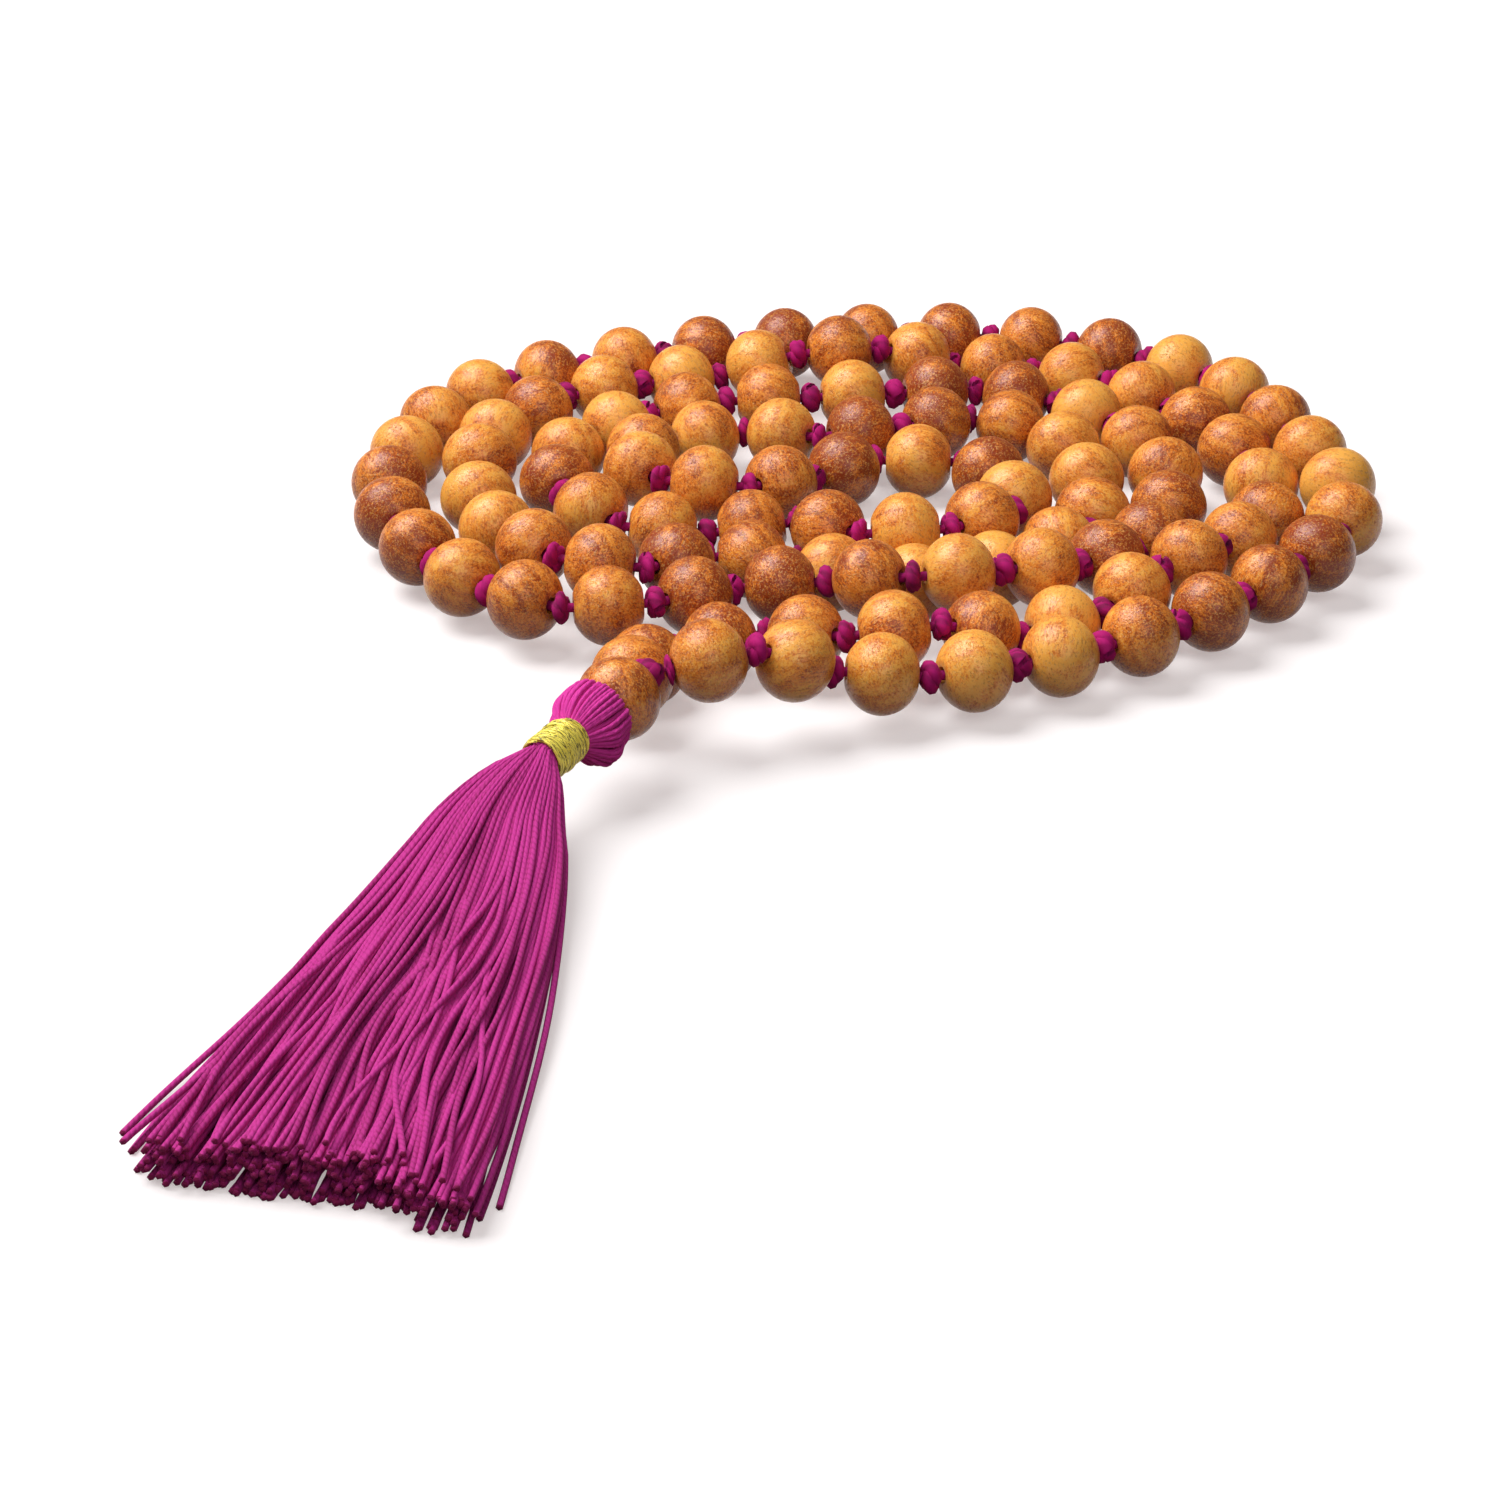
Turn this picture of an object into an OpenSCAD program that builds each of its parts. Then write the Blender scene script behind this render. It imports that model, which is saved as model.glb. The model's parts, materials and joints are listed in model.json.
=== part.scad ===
// Mala: a knotted strand of 108 round wooden beads lying in loops, closed by a guru bead and a yarn tassel.
// Units are millimetres. The strand lies on the plane z = 0.

/* [Beads] */
// Diameter of a bead
bead_d = 8; // [6:0.5:12]
// How far a bead is flatter than a ball
bead_oval = 0.4; // [0:0.1:0.6]
// Diameter of the flat round each mouth of a bead's bore
bead_flat_d = 3; // [2.8:0.1:4]
// Diameter of a bead's bore
bore_d = 1.6; // [1.4:0.1:2]
// Width of the chamfer at each mouth of a bore
bore_chamfer = 0.2; // [0.1:0.05:0.3]
// Diameter of the guru bead's bore, which takes two cords
guru_bore_d = 2.6; // [2.5:0.1:3]
// Room between beads of neighbouring rounds
bead_gap = 0.2; // [0.2:0.1:0.6]

/* [Cord and knots] */
// Diameter of the cord
cord_d = 1; // [0.7:0.1:1.1]
// Diameter of a knot between two beads
knot_d = 3.4; // [2.6:0.1:4]
// Length of a knot between two beads
knot_l = 2.1; // [1.4:0.1:2.6]
// Room between a knot and the bead beside it
knot_play = 0.15; // [0.15:0.05:0.4]
// Diameter of the gather knot above the guru bead
gather_d = 3.2; // [2.8:0.1:4]
// Diameter of the tie's knot inside the tassel head
tie_knot_d = 3; // [2.4:0.1:3.4]

/* [Tassel head and binding] */
// Diameter of the tassel head
head_d = 7.4; // [7:0.2:9]
// Room between the guru bead and the cup of the tassel head
cup_play = 0.3; // [0.2:0.1:0.6]
// Diameter of the tassel's neck, under the binding
neck_d = 3.6; // [3.2:0.2:4.6]
// Length of the binding along the neck
binding_l = 5; // [4.6:0.2:7]
// Diameter of the binding's thread
binding_thread_d = 0.4; // [0.3:0.05:0.4]
// Number of turns in the binding
binding_turns = 5; // [3:1:5]

/* [Tassel skirt] */
// Length of the skirt below the binding
skirt_l = 64; // [50:1:90]
// Width of the skirt where it is cut
skirt_w = 31; // [20:1:36]
// Height of the skirt where it lies flat
skirt_h = 5.2; // [4:0.2:6]
// Depth of the grooves between the skirt's locks of yarn
skirt_groove = 0.35; // [0.1:0.05:0.5]

/* [Pose] */
// Direction of the tassel head seen from above
tassel_heading = 238; // [229:1:239]
// Angle by which the tassel head dips
tassel_dip = 5; // [2:1:6]
// Direction of the cut end of the skirt seen from above
skirt_heading = 258; // [250:1:270]

/* [Hidden] */
$fn = 48;
bead_count = 108;
wood = [0.78, 0.52, 0.28];
cotton = [0.45, 0.02, 0.28];
yarn = [0.60, 0.08, 0.42];
gold = [0.80, 0.62, 0.22];
bead_l = 2 * sqrt(pow(bead_d / 2 - bead_oval, 2) - pow(bead_flat_d / 2 - bead_oval, 2));
pitch = bead_l + knot_l + 2 * knot_play;
end_link = bead_l / 2 + gather_d / 2 + 0.75;
guru_x = bead_l / 2 + gather_d / 2 + knot_play;

// The lay of the strand: the gather knot, then every second bead, for a pitch of 9.3.
lay_pitch = 9.3;
lay_scale = pitch / lay_pitch;
outer_round = [
    [-6, -6, 8], [12, -2, 5], [30, 6, 5], [44, 18, 5], [54, 34, 5],
    [52, 52, 5], [46, 70, 5], [32, 84, 4], [14, 88, 5], [-4, 86, 5],
    [-22, 82, 4], [-38, 72, 4], [-46, 54, 4], [-46, 36, 5], [-36, 20, 5]
];
third_round = [
    [-22, 10, 6], [-4, 18, 5], [12, 14, 8], [28, 24, 5], [36, 40, 4], [34, 58, 4],
    [22, 72, 4], [4, 70, 5], [-16, 68, 4], [-28, 54, 4], [-24, 38, 5]
];
inner_turn = [
    [-8, 36, 4], [8, 28, 6], [20, 40, 5], [10, 54, 4], [-6, 44, 5], [-20, 44, 6], [-12, 60, 4]
];
fourth_round = [
    [4, 58, 5], [20, 64, 4], [28, 48, 4], [24, 30, 4], [8, 20, 4], [-8, 28, 4], [-24, 18, 7]
];
second_round = [
    [-34, 34, 5], [-36, 50, 5], [-32, 68, 4], [-16, 76, 4], [2, 78, 6], [20, 80, 4], [36, 72, 4],
    [44, 56, 4], [46, 38, 4], [36, 22, 6], [22, 10, 5], [6, 4, 6], [-10, 6, 4], [-20, -8, 6]
];
gather_at = [-17.5, -11, 9] * lay_scale;
rounds = concat(outer_round, third_round, inner_turn, fourth_round, second_round);
lay = concat([gather_at], [for (q = rounds) q * lay_scale]);

function unit(v) = v / norm(v);
function clamp(x, lo, hi) = min(max(x, lo), hi);
function between(i) =
    (9 * (lay[i] + lay[i + 1]) - lay[max(i - 1, 0)] - lay[min(i + 2, len(lay) - 1)]) / 16;

// The strand bends at its knots: bead i runs from joint i - 1 to joint i; both ends meet at the gather knot.
// It settles: each link comes to its length, touching beads part, none sinks below the floor.
tassel_dir = [
    cos(tassel_heading) * cos(tassel_dip),
    sin(tassel_heading) * cos(tassel_dip),
    -sin(tassel_dip)
];
guru_at = gather_at + guru_x * tassel_dir;
settle_steps = 160;
touch = bead_d + bead_gap;
laid = [for (i = [0 : bead_count]) i % 2 == 0 ? lay[i / 2] : between((i - 1) / 2)];
laid_joints = concat(
    [gather_at],
    [for (i = [1 : bead_count - 1]) (laid[i] + laid[i + 1]) / 2],
    [gather_at]
);
near = [
    for (i = [0 : bead_count])
        [for (j = [1 : bead_count]) if (i != j && norm(laid[i] - laid[j]) < 1.45 * bead_d) j]
];
function total(v, i = 0, s = [0, 0, 0]) = i == len(v) ? s : total(v, i + 1, s + v[i]);
function link(i) = i == 1 || i == bead_count ? end_link + pitch / 2 : pitch;
function bead_on(q, i) =
    i == 1 ? q[1] + unit(q[0] - q[1]) * pitch / 2 : q[i - 1] + unit(q[i] - q[i - 1]) * pitch / 2;
function beads_on(q) = concat([gather_at], [for (i = [1 : bead_count]) bead_on(q, i)]);
function pull(a, b, l) = let (v = b - a, d = norm(v)) v * (d - l) / (2 * d);
function part_from(a, b) = let (v = b - a, d = norm(v)) d < touch ? v * (d - touch) / (2 * d) : [0, 0, 0];
function push(c, i) =
    [0, 0, max(0, bead_d / 2 - c[i].z)]
    + 2 * part_from(c[i], guru_at)
    + total([for (j = near[i]) part_from(c[i], c[j])]);
function settle_once(q) =
    let (c = beads_on(q), away = [for (i = [0 : bead_count]) i == 0 ? [0, 0, 0] : push(c, i)])
    [
        for (i = [0 : bead_count])
            i == 0 || i == bead_count ? gather_at : q[i]
                + 0.6 * pull(q[i], q[i - 1], link(i))
                + 0.6 * pull(q[i], q[i + 1], link(i + 1))
                + 0.45 * (away[i] + away[i + 1])
    ];
function settle(q, n) = n == 0 ? q : settle(settle_once(q), n - 1);
joints = settle(laid_joints, settle_steps);
strand = beads_on(joints);
function axis(i) = unit(joints[i] - joints[i - 1]);

// The skirt runs from the neck's end down to the floor and turns to its own heading.
head_x = guru_x + bead_d / 2 + 0.7;
binding_x = head_x + head_d / 2 - 0.55;
neck_end_x = binding_x + binding_l + 0.3;
skirt_from = gather_at + (neck_end_x + 0.25) * tassel_dir;
skirt_stations = 14;
skirt_locks = 30;
skirt_sides = 4 * skirt_locks;
skirt_turn = 0.15;
skirt_land = 0.42;
function station_heading(t) = tassel_heading + (skirt_heading - tassel_heading) * min(1, t / skirt_turn);
function skirt_xy(n) = n == 0 ? [skirt_from.x, skirt_from.y] :
    let (t = (n - 0.5) / skirt_stations, h = station_heading(t))
        skirt_xy(n - 1) + [cos(h), sin(h)] * skirt_l / skirt_stations;
function skirt_half(t) = neck_d / 2 + (skirt_w - neck_d) / 2 * sqrt(t);
function skirt_high(t) = neck_d + (skirt_h - neck_d) * min(1, t / skirt_land);
function skirt_low(t) = (skirt_from.z - neck_d / 2) * pow(max(0, 1 - t / skirt_land), 2);
function skirt_ring(n) =
    let (
        t = n / skirt_stations,
        h = station_heading(t),
        side = [-sin(h), cos(h), 0],
        c = skirt_xy(n),
        high = skirt_high(t),
        low = skirt_low(t),
        flat = min(1, t / skirt_land)
    )
    [
        for (k = [0 : skirt_sides - 1])
            let (
                a = 360 * k / skirt_sides,
                groove = skirt_groove * min(1, 4 * t) * (1 - cos(360 * k / 4)) / 2,
                wide = (skirt_half(t) - groove) * cos(a),
                tall = (high / 2 - groove) * sin(a),
                up = sin(a) < 0 ? max(tall * (1 + 0.6 * flat), groove * (1 - flat) - high / 2) : tall
            )
            [c.x, c.y, low + high / 2 + up] + side * wide
    ];
skirt_points = [for (n = [0 : skirt_stations]) each skirt_ring(n)];
skirt_faces = concat(
    [[for (k = [0 : skirt_sides - 1]) k]],
    [[for (k = [skirt_sides - 1 : -1 : 0]) skirt_stations * skirt_sides + k]],
    [
        for (n = [0 : skirt_stations - 1], k = [0 : skirt_sides - 1])
            let (a = n * skirt_sides + k, b = n * skirt_sides + (k + 1) % skirt_sides)
                each [[a, a + skirt_sides, b], [b, a + skirt_sides, b + skirt_sides]]
    ]
);

// The binding is one thread wound along the neck.
thread_sides = 6;
thread_rings = 24 * binding_turns;
thread_r = neck_d / 2 + binding_thread_d / 2 + 0.05;
thread_rise = (binding_l - binding_thread_d) / binding_turns;
function thread_at(n) =
    let (a = n * 15)
        [binding_x + binding_thread_d / 2 + thread_rise * n / 24, thread_r * cos(a), thread_r * sin(a)];
thread_points = [
    for (n = [0 : thread_rings])
        let (p = thread_at(n), out = [0, cos(n * 15), sin(n * 15)])
            each [
                for (k = [0 : thread_sides - 1])
                    p + binding_thread_d / 2 * (cos(60 * k) * out + sin(60 * k) * [1, 0, 0])
            ]
];
thread_faces = concat(
    [[for (k = [thread_sides - 1 : -1 : 0]) k]],
    [[for (k = [0 : thread_sides - 1]) thread_rings * thread_sides + k]],
    [
        for (n = [0 : thread_rings - 1], k = [0 : thread_sides - 1])
            let (a = n * thread_sides + k, b = n * thread_sides + (k + 1) % thread_sides)
                each [[a, b, a + thread_sides], [b, b + thread_sides, a + thread_sides]]
    ]
);

// The part is centred on its own box, with its underside on the floor.
beads_at = [for (i = [1 : bead_count]) strand[i]];
all_x = concat([for (q = beads_at) each [q.x - bead_d / 2, q.x + bead_d / 2]], [for (q = skirt_points) q.x]);
all_y = concat([for (q = beads_at) each [q.y - bead_d / 2, q.y + bead_d / 2]], [for (q = skirt_points) q.y]);
centre = [
    (min(all_x) + max(all_x)) / 2,
    (min(all_y) + max(all_y)) / 2,
    min([for (q = beads_at) q.z]) - bead_d / 2
];

// Checks on the settled strand and the binding.
pairs = [
    for (i = [1 : bead_count - 1], j = [i + 1 : bead_count])
        if (abs(strand[i].x - strand[j].x) < 2 * bead_d) norm(strand[i] - strand[j]) - bead_d
];
links = [for (i = [2 : bead_count - 1]) norm(joints[i] - joints[i - 1])];
turn_gaps = [
    for (n = [0 : thread_rings - 24]) norm(thread_at(n + 24) - thread_at(n)) - binding_thread_d
];
echo(least_bead_gap = min(pairs), shortest_link = min(links), longest_link = max(links));
echo(least_binding_gap = min(turn_gaps), centre = centre);

function two(i) = i < 10 ? str("00", i) : i < 100 ? str("0", i) : str(i);
single_beads = concat([for (i = [1 : 24]) i], [for (i = [85 : 108]) i]);
group_starts = [25, 40, 55, 70];
group_count = 15;

module along(v) {
    rotate([0, acos(clamp(v.z, -1, 1)), atan2(v.y, v.x)])
        children();
}

module drilled_bead(hole) {
    rotate_extrude()
        difference() {
            intersection() {
                translate([bead_oval, 0])
                    circle(d = bead_d - 2 * bead_oval);
                translate([hole / 2, -bead_l / 2])
                    square([bead_d, bead_l]);
            }
            for (s = [-1, 1])
                scale([1, s])
                    polygon([
                        [hole / 2 - 0.1, bead_l / 2 - bore_chamfer - 0.1],
                        [hole / 2 + bore_chamfer + 0.1, bead_l / 2 + 0.1],
                        [hole / 2 - 0.1, bead_l / 2 + 0.1]
                    ]);
        }
}

module bead(i) {
    color(wood)
        translate(strand[i] - centre)
            along(axis(i))
                drilled_bead(bore_d);
}

module bead_group(first) {
    for (i = [first : first + group_count - 1])
        bead(i);
}

// A knot is a barrel with a waist. It is flatter where the strand bends, to stay clear of both flats.
module knot(i) {
    way = unit(axis(i) + axis(i + 1));
    tilt = acos(clamp(axis(i) * axis(i + 1), -1, 1)) / 2;
    wide = min(knot_d / 2, (knot_l / 2 - 0.15) / max(sin(tilt), 0.01));
    mouth = 0.7 * wide;
    high = (knot_l / 2 - mouth * sin(tilt)) / cos(tilt);
    rim = min(0.3 * knot_l, (knot_l / 2 - wide * sin(tilt)) / cos(tilt));
    waist = 0.45 * rim;
    translate(joints[i] - centre)
        along(way)
            rotate_extrude()
                polygon([
                    [0, -high], [mouth, -high], [wide, -rim], [wide, -waist],
                    [wide - 0.12 * knot_l, 0],
                    [wide, waist], [wide, rim], [mouth, high], [0, high]
                ]);
}

module cord_run(a, b) {
    translate(a - centre)
        along(unit(b - a))
            cylinder(d = cord_d, h = norm(b - a));
}

module knotted_cord() {
    tail = gather_d / 2 + 0.2;
    tuck = 0.1 * knot_l;
    color(cotton)
        union() {
            for (i = [1 : bead_count - 1])
                knot(i);
            for (i = [1 : bead_count])
                cord_run(
                    joints[i - 1] + axis(i) * (i == 1 ? tail : tuck),
                    joints[i] - axis(i) * (i == bead_count ? tail : tuck)
                );
        }
}

module pendant() {
    translate(gather_at - centre)
        rotate([0, tassel_dip, tassel_heading])
            children();
}

module gather_knot() {
    color(cotton)
        pendant()
            union() {
                sphere(d = 0.86 * gather_d);
                for (s = [-1, 1])
                    rotate([35 * s, 90, 0])
                        rotate_extrude()
                            translate([0.36 * gather_d, 0])
                                circle(d = 0.27 * gather_d);
            }
}

module guru_bead() {
    color(wood)
        pendant()
            translate([guru_x, 0, 0])
                rotate([0, 90, 0])
                    drilled_bead(guru_bore_d);
}

module tassel_tie() {
    tie_x = head_x + 1.6;
    start = gather_d / 2 + 0.15;
    color(cotton)
        pendant()
            union() {
                for (s = [-1, 1])
                    translate([start, s * (cord_d / 2 + 0.05), 0])
                        rotate([0, 90, 0])
                            cylinder(d = cord_d, h = tie_x - start);
                translate([tie_x, 0, 0])
                    sphere(d = tie_knot_d);
            }
}

module tassel_head() {
    color(yarn)
        pendant()
            rotate([0, 90, 0])
                rotate_extrude()
                    difference() {
                        intersection() {
                            union() {
                                translate([0, head_x])
                                    circle(d = head_d);
                                translate([0, head_x])
                                    square([neck_d / 2, neck_end_x - head_x]);
                            }
                            translate([0, head_x - 0.22 * head_d])
                                square([head_d, neck_end_x]);
                        }
                        translate([bead_oval, guru_x])
                            circle(d = bead_d - 2 * bead_oval + 2 * cup_play);
                        translate([0, guru_x])
                            square([guru_bore_d / 2, head_x + 1.6 - guru_x]);
                        translate([0, head_x + 1.6])
                            circle(d = tie_knot_d + 0.4);
                    }
}

module gold_binding() {
    color(gold)
        pendant()
            polyhedron(thread_points, thread_faces, convexity = 10);
}

module tassel_skirt() {
    color(yarn)
        translate(-centre)
            polyhedron(skirt_points, skirt_faces, convexity = 10);
}

for (i = single_beads)
    bead(i);
for (g = group_starts)
    bead_group(g);
knotted_cord();
gather_knot();
guru_bead();
tassel_tie();
tassel_head();
gold_binding();
tassel_skirt();
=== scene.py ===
"""Looks of a knotted strand of wooden prayer beads with a guru bead and a yarn tassel.

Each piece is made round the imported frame, in metres, and stands for one of its nodes.
"""

import json
import math
import random

import bmesh
import bpy
import numpy as np
from mathutils import Matrix, Quaternion, Vector


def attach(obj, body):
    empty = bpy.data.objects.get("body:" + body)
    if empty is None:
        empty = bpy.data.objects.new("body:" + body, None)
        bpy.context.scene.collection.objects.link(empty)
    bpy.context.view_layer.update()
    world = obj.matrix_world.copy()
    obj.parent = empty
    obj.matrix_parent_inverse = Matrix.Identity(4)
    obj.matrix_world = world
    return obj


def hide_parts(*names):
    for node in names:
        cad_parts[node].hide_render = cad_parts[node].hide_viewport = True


bl_info = {
    "name": "Mala Beads",
    "version": (1, 0, 0),
    "blender": (4, 5, 0),
    "location": "View3D > Sidebar > Mala",
    "description": "Turns, strings and finishes a mala of wooden beads with its cord and tassel",
    "category": "Object",
}

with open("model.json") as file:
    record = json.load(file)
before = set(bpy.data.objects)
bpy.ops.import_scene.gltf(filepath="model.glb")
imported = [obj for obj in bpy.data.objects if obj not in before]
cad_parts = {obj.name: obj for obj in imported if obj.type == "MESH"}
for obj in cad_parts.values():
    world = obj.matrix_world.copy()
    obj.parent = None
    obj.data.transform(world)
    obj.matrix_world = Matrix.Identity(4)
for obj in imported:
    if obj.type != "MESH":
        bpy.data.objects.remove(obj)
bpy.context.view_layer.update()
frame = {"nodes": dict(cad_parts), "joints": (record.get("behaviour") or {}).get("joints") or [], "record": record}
MM = 0.001
TURN = 2 * math.pi
JOINTS = {joint["name"]: joint for joint in frame["joints"]}
BODIES = frame["record"]["behaviour"]["bodies"]
BODY_OF = {node: body for body, nodes in BODIES.items() for node in nodes}
GATHER = Vector(JOINTS["swing_tassel"]["pos_m"])
TASSEL_DIR = Vector(JOINTS["turn_guru_bead"]["axis"])
GURU = Vector(JOINTS["turn_guru_bead"]["pos_m"])


def dye(code):
    """The linear colour of a hex code."""
    parts = [int(code[k : k + 2], 16) / 255 for k in (0, 2, 4)]
    return tuple(p / 12.92 if p <= 0.04045 else ((p + 0.055) / 1.055) ** 2.4 for p in parts)


def length(name, description, default):
    return bpy.props.FloatProperty(
        name=name, description=description, default=default, unit="LENGTH", precision=5
    )


def number(name, description, default, least):
    return bpy.props.IntProperty(name=name, description=description, default=default, min=least)


def degrees(name, description, default):
    return bpy.props.FloatProperty(
        name=name, description=description, default=math.radians(default), subtype="ANGLE"
    )


def watts(name, description, default):
    return bpy.props.FloatProperty(
        name=name, description=description, default=default, unit="POWER"
    )


def colour(name, description, code):
    return bpy.props.FloatVectorProperty(
        name=name, description=description, default=dye(code), size=3, min=0, max=1, subtype="COLOR"
    )


class BeadSettings(bpy.types.PropertyGroup):
    """Sizes and colours of the beads."""

    bead_d: length("Bead", "Diameter of a bead", 8.0 * MM)
    bead_l: length("Bead length", "Length of a bead along its bore", 6.856 * MM)
    flat_d: length("Flat", "Diameter of the flat round each mouth of the bore", 3.0 * MM)
    bore_d: length("Bore", "Diameter of a bead's bore", 1.6 * MM)
    guru_bore_d: length("Guru bore", "Diameter of the guru bead's bore", 2.6 * MM)
    ease: length("Eased edge", "Width of the worn edge round each flat", 0.10 * MM)
    straw: colour("Straw", "Colour of the palest wood", "F0AA48")
    honey: colour("Honey", "Colour of most of the wood", "DA7A26")
    heart: colour("Heartwood", "Colour of the darkest wood", "8F3610")
    pore: colour("Pores", "Colour in the pores and pits", "74300C")
    dust: colour("Dust", "Colour of the sanding dust in the grain", "F4BE70")


class CordSettings(bpy.types.PropertyGroup):
    """Sizes and colours of the knotted cord."""

    pitch: length("Pitch", "Length of cord from knot to knot", 9.256 * MM)
    cord_d: length("Cord", "Diameter of the cord", 1.0 * MM)
    knot_d: length("Knot", "Diameter of a knot", 3.5 * MM)
    knot_l: length("Knot length", "Length of a knot along the cord", 2.3 * MM)
    gather_d: length("Gather knot", "Diameter of the gather knot", 3.2 * MM)
    dyed: colour("Cotton", "Colour of the cord's fibres", "A80666")
    # Painted shade: the colour in the grooves between the cord's plies, and also the dark end of its fibres' tone
    deep: colour("Cotton, deep", "Colour between the cord's plies", "68033C")


class TasselSettings(bpy.types.PropertyGroup):
    """Sizes and colours of the tassel."""

    head_d: length("Head", "Diameter of the tassel's head", 7.4 * MM)
    neck_d: length("Neck", "Diameter of the neck under the binding", 3.6 * MM)
    binding_l: length("Binding", "Length of the binding along the neck", 5.0 * MM)
    thread_d: length("Thread", "Width of the binding's thread", 0.36 * MM)
    binding_turns: number("Turns", "Turns in the binding's lowest layer", 16, 3)
    skirt_l: length("Skirt", "Length of the skirt", 64 * MM)
    skirt_w: length("Skirt width", "Width of the skirt where it is cut", 31 * MM)
    skirt_h: length("Skirt height", "Height of the skirt where it lies flat", 5.2 * MM)
    skirt_heading: degrees("Skirt heading", "Direction of the skirt's cut end", 258)
    strand_d: length("Yarn", "Diameter of a strand of yarn", 0.61 * MM)
    strands: number("Strands", "Strands of yarn in the skirt, without the strays", 390, 20)
    dyed: colour("Yarn", "Colour of the yarn's fibres", "BA2E88")
    # Painted shade: the colour in the grooves between the yarn's plies, and also the dark end of its fibres' tone
    deep: colour("Yarn, deep", "Colour between the yarn's plies", "8E165D")
    # Painted shade: the cut ends are coloured darker, for the shade inside the cut fibres
    cut: colour("Cut ends", "Colour of the yarn's cut ends", "7A0F3C")
    gilt: colour("Metallic thread", "Colour of the metallic thread", "FFEC64")
    # Painted shade in the foil's folds and slits, darker than the gilt
    gilt_fold_shade: colour("Metallic thread, deep", "Colour in the thread's folds", "4A3206")


class StageSettings(bpy.types.PropertyGroup):
    """Floor, light and camera."""

    floor: colour("Floor", "Colour of the floor", "FBFAFA")
    floor_bounce: colour("Floor bounce", "Colour of the light that the floor gives back", "54402E")
    key_power: watts("Key light", "Power of the key light", 9.9)
    fill_power: watts("Fill light", "Power of the fill light", 1.7)
    sky: bpy.props.FloatProperty(
        name="Sky", description="Strength of the light from all round", default=0.10
    )
    lens: bpy.props.FloatProperty(
        name="Lens", description="Focal length on a 36 mm sensor", default=105.94
    )
    down: degrees("Camera angle", "Angle of the view below level", 26.28)


class Value:
    """A socket's value in a finish. Python's operators on it add Math nodes."""

    def __init__(self, finish, socket):
        self.finish, self.socket = finish, socket

    def beside(self, output):
        """The value of another output of the same node."""
        return Value(self.finish, self.socket.node.outputs[output])

    def maths(self, operation, *others):
        inputs = dict(enumerate((self, *others)))
        return self.finish.node("ShaderNodeMath", {"operation": operation}, inputs)

    def __add__(self, other):
        return self.maths("ADD", other)

    def __sub__(self, other):
        return self.maths("SUBTRACT", other)

    def __rsub__(self, other):
        return (self * -1.0).maths("ADD", other)

    def __mul__(self, other):
        return self.maths("MULTIPLY", other)

    def __pow__(self, other):
        return self.maths("POWER", other)

    __radd__, __rmul__ = __add__, __mul__

    def step(self, low, high):
        """Goes smoothly from 0 to 1 as this value goes from low to high."""
        settings = {"interpolation_type": "SMOOTHSTEP"}
        inputs = {"Value": self, "From Min": low, "From Max": high}
        return self.finish.node("ShaderNodeMapRange", settings, inputs)

    def sine(self):
        return self.maths("SINE")


class Finish:
    """A material that is being mixed. node() adds any node, by its type, settings and inputs."""

    def __init__(self, name):
        self.material = bpy.data.materials.new(name)
        self.material.use_nodes = True
        self.tree = self.material.node_tree
        self.tree.nodes.clear()

    def node(self, kind, settings=None, inputs=None, out=0):
        made = self.tree.nodes.new(kind)
        for name, value in (settings or {}).items():
            setattr(made, name, value)
        for name, value in (inputs or {}).items():
            if isinstance(value, Value):
                self.tree.links.new(value.socket, made.inputs[name])
            else:
                made.inputs[name].default_value = value
        return Value(self, made.outputs[out]) if made.outputs else None

    def attribute(self, name, out):
        return self.node("ShaderNodeAttribute", {"attribute_name": name}, out=out)

    def yarn_map(self):
        """How far round its strand a point lies, in turns, and how far along, in millimetres."""
        run = self.node("ShaderNodeUVMap", {"uv_map": "Yarn"})
        around = self.node("ShaderNodeSeparateXYZ", None, {"Vector": run})
        return around, around.beside("Y")

    def vector(self, x, y, z):
        return self.node("ShaderNodeCombineXYZ", None, {"X": x, "Y": y, "Z": z})

    def stretch(self, vector, along, shift=(0, 0, 0)):
        """Coordinates in which a pattern is drawn out along Z, and moved by a shift."""
        inputs = {"Vector": vector, "Scale": (1, 1, along), "Location": shift}
        return self.node("ShaderNodeMapping", None, inputs)

    def noise(self, vector, scale, detail=3.0, rough=0.55, warp=0.0):
        inputs = {"Vector": vector, "Scale": scale}
        inputs.update({"Detail": detail, "Roughness": rough, "Distortion": warp})
        return self.node("ShaderNodeTexNoise", None, inputs)

    def cells(self, vector, scale):
        return self.node("ShaderNodeTexVoronoi", None, {"Vector": vector, "Scale": scale})

    def blend(self, factor, a, b):
        settings = {"data_type": "RGBA", "clamp_factor": True}
        inputs = {0: factor, 6: self.paint(a), 7: self.paint(b)}
        return self.node("ShaderNodeMix", settings, inputs, out=2)

    @staticmethod
    def paint(value):
        return value if isinstance(value, Value) else (*value, 1.0)

    def bump(self, height, distance, strength):
        inputs = {"Height": height, "Distance": distance, "Strength": strength}
        return self.node("ShaderNodeBump", None, inputs)

    def done(self, **sockets):
        """Ends the finish in a Principled shader with these sockets."""
        inputs = {name.replace("_", " "): value for name, value in sockets.items()}
        shader = self.node("ShaderNodeBsdfPrincipled", None, inputs)
        self.node("ShaderNodeOutputMaterial", None, {"Surface": shader})
        return self.material


def finish_named(name, mix, *settings):
    """The finish of this name, mixed on first use."""
    return bpy.data.materials.get(name) or mix(name, *settings)


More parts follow.
